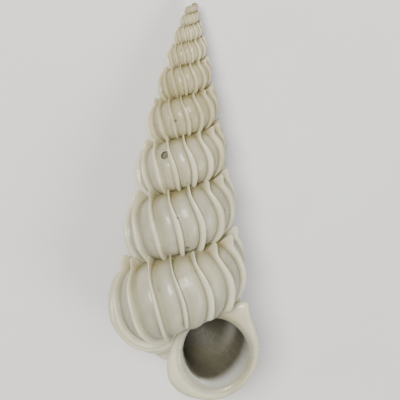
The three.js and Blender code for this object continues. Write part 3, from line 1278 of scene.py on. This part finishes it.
    def join(self) -> None:
        """Joins everything to one surface shader and to the material's output."""
        finish, nodes = self.finish, self.nodes
        shader = nodes.new("ShaderNodeBsdfPrincipled")
        sources = {
            "Base Color": nodes.mix(self.inside, self.stained(self.outer_colour()), self.inside_colour_with_painted_light()),
            "Roughness": self.roughness(),
            "Normal": self.normal(),
            "Subsurface Weight": finish.subsurface,
            "Subsurface Radius": finish.subsurface_radius,
            "Subsurface Scale": finish.subsurface_scale,
            "IOR": finish.refraction,
            "Coat Weight": self.gloss(),
            "Coat Roughness": finish.coat_roughness,
        }
        for name, source in sources.items():
            nodes.feed(shader.inputs[name], source)
        output = nodes.new("ShaderNodeOutputMaterial")
        nodes.feed(output.inputs["Surface"], shader.outputs["BSDF"])


def shell_material(finish: ShellFinish) -> bpy.types.Material:
    """Builds the shell's material.

    Args:
        finish: the colours and strengths.

    Returns:
        The material.
    """
    material = bpy.data.materials.new("shell")
    material.use_nodes = True
    material.node_tree.nodes.clear()
    ShellShader(finish, material.node_tree).join()
    return material


# ------------------------------------------------------------------ studio


@dataclass(frozen=True)
class AreaLight:
    """One soft light, aimed at the shell: direction angles in degrees, distance and side in metres."""

    name: str
    azimuth: float
    elevation: float
    distance: float
    side: float
    power: float
    colour: tuple[float, float, float] = (1.0, 1.0, 1.0)
    gloss: float = 1.0

    def place(self, target: Vector) -> None:
        """Makes the light.

        Args:
            target: the point it is aimed at.
        """
        light = bpy.data.lights.new(self.name, "AREA")
        light.shape = "DISK"
        light.size = self.side
        light.energy = self.power
        light.color = self.colour
        light.specular_factor = self.gloss
        azimuth, elevation = math.radians(self.azimuth), math.radians(self.elevation)
        towards = Vector((
            math.cos(elevation) * math.cos(azimuth),
            math.cos(elevation) * math.sin(azimuth),
            math.sin(elevation),
        ))
        lamp = bpy.data.objects.new(self.name, light)
        lamp.location = target + self.distance * towards
        lamp.rotation_euler = towards.to_track_quat("Z", "Y").to_euler()
        bpy.context.scene.collection.objects.link(lamp)


@dataclass(frozen=True)
class Studio:
    """The pale table, the lights and the camera."""

    floor_side: float = 1.6
    floor_colour: tuple[float, float, float] = (0.62, 0.61, 0.59)
    lights: tuple[AreaLight, ...] = (
        AreaLight("key", 125.0, 58.0, 0.45, 0.2, 3.8, (1.0, 0.985, 0.95), 0.12),
        AreaLight("fill", -20.0, 50.0, 0.5, 0.3, 1.9, (0.98, 0.99, 1.0), 0.12),
        AreaLight("glint", 95.0, 66.0, 0.5, 0.03, 0.3),
    )
    sky_colour: tuple[float, float, float] = (0.9, 0.92, 0.95)
    sky_strength: float = 0.28
    lens: float = 108.0
    sensor: float = 36.0
    look_down: float = 11.0
    roll: float = 1.549
    aim_share: tuple[float, float] = (0.20166, -2.3373)
    distance_share: float = 14.578
    clip_start: float = 0.005
    mottle: float = 0.96
    mottle_scale: float = 60.0
    mottle_range: tuple[float, float] = (0.3, 0.7)
    floor_roughness: float = 0.75

    def floor(self) -> bpy.types.Object:
        """Makes the table: a flat square under the shell, with a faint mottle.

        Returns:
            The floor's object.
        """
        half = 0.5 * self.floor_side
        corners = half * np.array([[-1, -1, 0], [1, -1, 0], [1, 1, 0], [-1, 1, 0]], float)
        mesh = bpy.data.meshes.new("floor")
        mesh.from_pydata(corners.tolist(), [], [(0, 1, 2, 3)])
        material = bpy.data.materials.new("floor")
        material.use_nodes = True
        nodes = Nodes(material.node_tree)
        shader = material.node_tree.nodes["Principled BSDF"]
        place = nodes.new("ShaderNodeTexCoord").outputs["Object"]
        dark = rgba(*(self.mottle * value for value in self.floor_colour))
        cloud = nodes.ramp(nodes.noise(place, self.mottle_scale), *self.mottle_range)
        nodes.feed(shader.inputs["Base Color"], nodes.mix(cloud, rgba(*self.floor_colour), dark))
        shader.inputs["Roughness"].default_value = self.floor_roughness
        mesh.materials.append(material)
        floor = bpy.data.objects.new("floor", mesh)
        bpy.context.scene.collection.objects.link(floor)
        return floor

    def sky(self) -> None:
        """Sets the even light that comes from all round."""
        world = bpy.data.worlds.new("studio")
        world.use_nodes = True
        background = world.node_tree.nodes["Background"]
        background.inputs["Color"].default_value = rgba(*self.sky_colour)
        background.inputs["Strength"].default_value = self.sky_strength
        bpy.context.scene.world = world

    def camera(self, shell: Shell) -> None:
        """Stands the camera square to the shell's axis, a little above, looking at the mouth's side.

        Args:
            shell: the shell, whose coil and laying turn say where its axis lies.
        """
        radius = shell.coil.mouth_radius
        down, roll = math.radians(self.look_down), math.radians(self.roll)
        ahead = Vector((0.0, math.cos(down), -math.sin(down)))
        level = Vector((1.0, 0.0, 0.0))
        upright = Vector((0.0, math.sin(down), math.cos(down)))
        right = math.cos(roll) * level + math.sin(roll) * upright
        up = math.cos(roll) * upright - math.sin(roll) * level
        aim = Vector((self.aim_share[0] * radius, 0.0, self.aim_share[1] * radius))
        turn = shell.laying_turn()
        place = turn @ (aim - self.distance_share * radius * ahead) + Vector(shell.shift)
        axes = Matrix((turn @ right, turn @ up, -(turn @ ahead))).transposed()
        data = bpy.data.cameras.new("camera")
        data.lens = self.lens
        data.sensor_width = self.sensor
        data.clip_start = self.clip_start
        camera = bpy.data.objects.new("camera", data)
        camera.matrix_world = Matrix.Translation(place) @ axes.to_4x4()
        bpy.context.scene.collection.objects.link(camera)
        bpy.context.scene.camera = camera

    def build(self, shell: Shell) -> bpy.types.Object:
        """Makes the floor, the lights, the sky and the camera.

        Args:
            shell: the shell they are set round.

        Returns:
            The floor's object.
        """
        target = Vector(0.5 * (np.array(CAD_BOX[0]) + np.array(CAD_BOX[1])))
        for light in self.lights:
            light.place(target)
        self.sky()
        self.camera(shell)
        return self.floor()


def main() -> None:
    """Builds the shell and the studio, and ties the shell to its CAD part."""
    logging.basicConfig(level=logging.INFO, format="%(message)s")
    low, high = CAD_BOX
    shell = Shell(length=high[1] - low[1])
    piece = shell.build()
    piece.data.materials.append(shell_material(ShellFinish()))
    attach(piece, "root")
    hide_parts(NODE)
    LOG.info("shell: %d points, %d faces", len(piece.data.vertices), len(piece.data.polygons))
    studio = Studio()
    floor = studio.build(shell)
    LOG.info("studio: floor, %d lights, camera", len(studio.lights))


if __name__ == "__main__":
    main()
